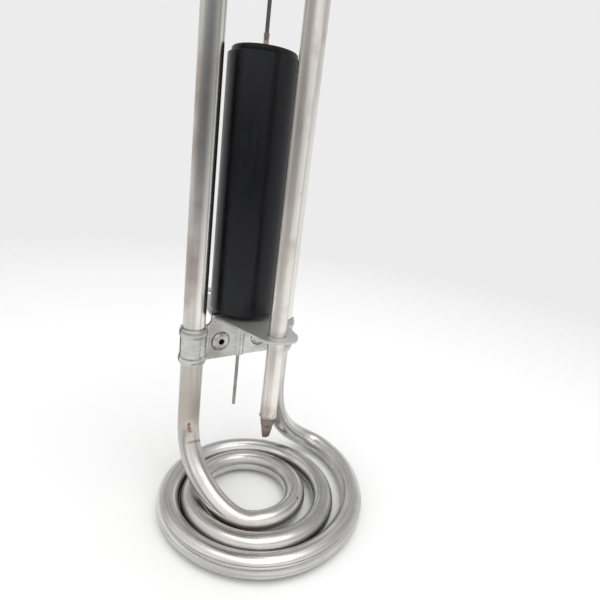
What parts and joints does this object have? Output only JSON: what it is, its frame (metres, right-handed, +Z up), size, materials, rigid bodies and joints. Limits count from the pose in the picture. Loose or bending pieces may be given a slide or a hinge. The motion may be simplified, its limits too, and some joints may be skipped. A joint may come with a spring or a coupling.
{
  "type": "immersion heater",
  "caption": "Immersion heater: one bent tube as two legs and a flat spiral coil under a round flange, with a probe tube, a leg bracket and a float that slides on a rod between the legs",
  "frame": {"origin": "centre of the flange's flat underside, on the axis of the float's rod", "axes": "+Z up along the rod and the legs, away from the coil; +X from the leg that ends in the inner turn to the leg that ends in the outer turn; +Y away from the probe tube"},
  "size_m": [0.0939, 0.1035, 0.251],
  "materials": {
    "element_steel": "satin, straw-tinted near the coil",
    "probe_steel": "satin, browned at the brazed tip",
    "bracket_steel": "mill-finished sheet",
    "rivet_steel": "satin",
    "flange_steel": "turned, satin",
    "guide_plastic": "matte",
    "ceramic_bead": "matte",
    "terminal_steel": "satin",
    "float_black": "satin black",
    "washer_brown": "dull reddish brown",
    "rod_steel": "drawn wire, dull"
  },
  "bodies": {
    "frame": {"heating_element": "element_steel", "thermowell": "probe_steel", "bracket_front": "bracket_steel", "bracket_rear": "bracket_steel", "rivet_left": "rivet_steel", "rivet_right": "rivet_steel", "mounting_flange": "flange_steel", "rod_guide": "guide_plastic", "leg_collar_left": "flange_steel", "leg_collar_right": "flange_steel", "well_collar": "flange_steel", "insulator_left": "ceramic_bead", "insulator_right": "ceramic_bead", "terminal_pin_left": "terminal_steel", "terminal_pin_right": "terminal_steel", "terminal_tab_left": "terminal_steel", "terminal_tab_right": "terminal_steel"},
    "float": {"float_body": "float_black", "float_cap": "float_black", "float_retainer": "rod_steel", "float_washer": "washer_brown", "rod_sleeve": "washer_brown", "float_rod": "rod_steel"}
  },
  "joints": [
    {"name": "float_rise", "type": "slide", "parent": "frame", "child": "float", "axis": [0, 0, 1], "range_m": [0, 0.033]}
  ]
}
